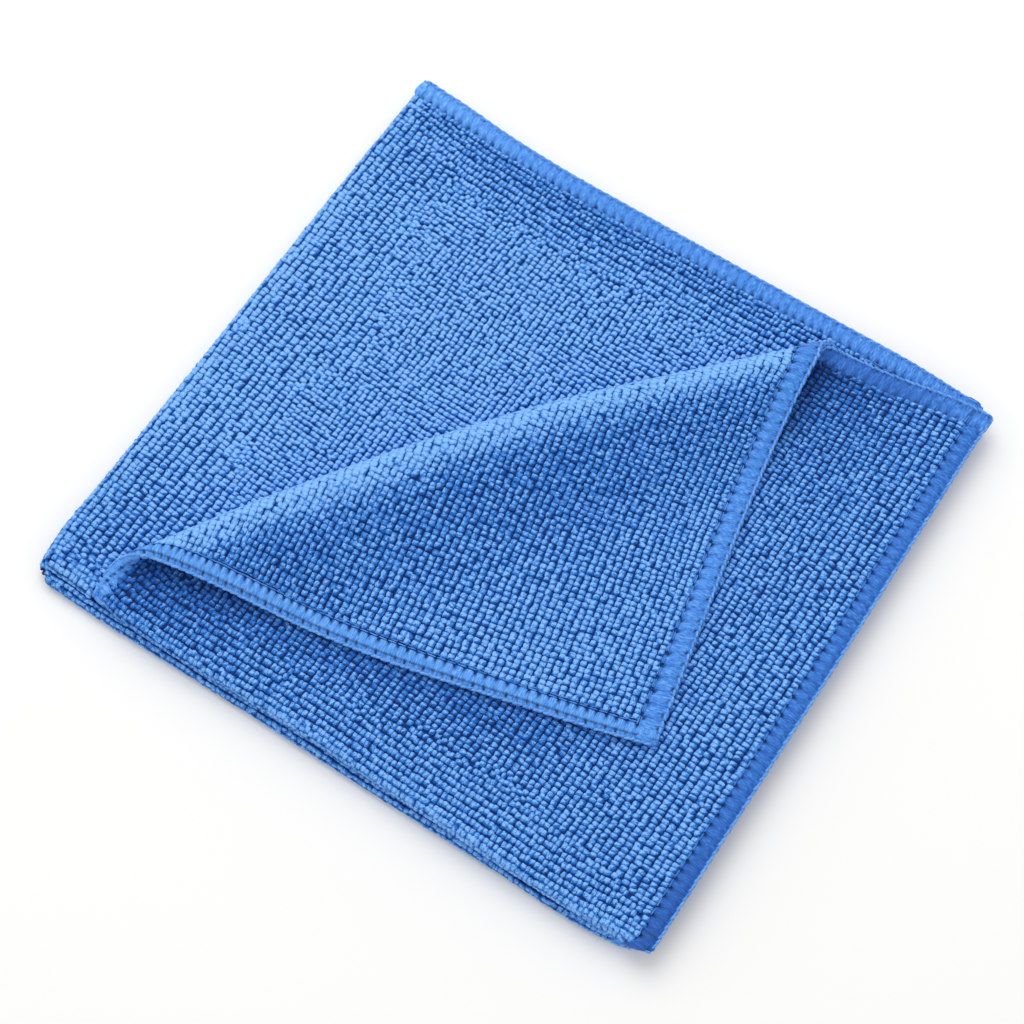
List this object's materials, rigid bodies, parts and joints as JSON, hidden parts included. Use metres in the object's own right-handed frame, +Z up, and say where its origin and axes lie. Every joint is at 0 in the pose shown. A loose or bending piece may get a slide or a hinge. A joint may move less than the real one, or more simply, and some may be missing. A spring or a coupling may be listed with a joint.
{
  "type": "microfibre cloth",
  "caption": "Square-folded microfibre cleaning cloth with an overlocked hem, lying flat, a corner of its top ply turned back in a soft roll.",
  "frame": {"origin": "centre of the folded cloth's box on the surface it lies on", "axes": "+X along the front fold, towards the hemmed side; +Y from the front fold towards the back hem; +Z up"},
  "size_m": [0.2046, 0.1938, 0.0184],
  "materials": {
    "cloth": "mid blue dyed microfibre pearl knit, matt, with satin overlock thread on the hem"
  },
  "bodies": {
    "root": {"cloth": "cloth"}
  },
  "joints": []
}
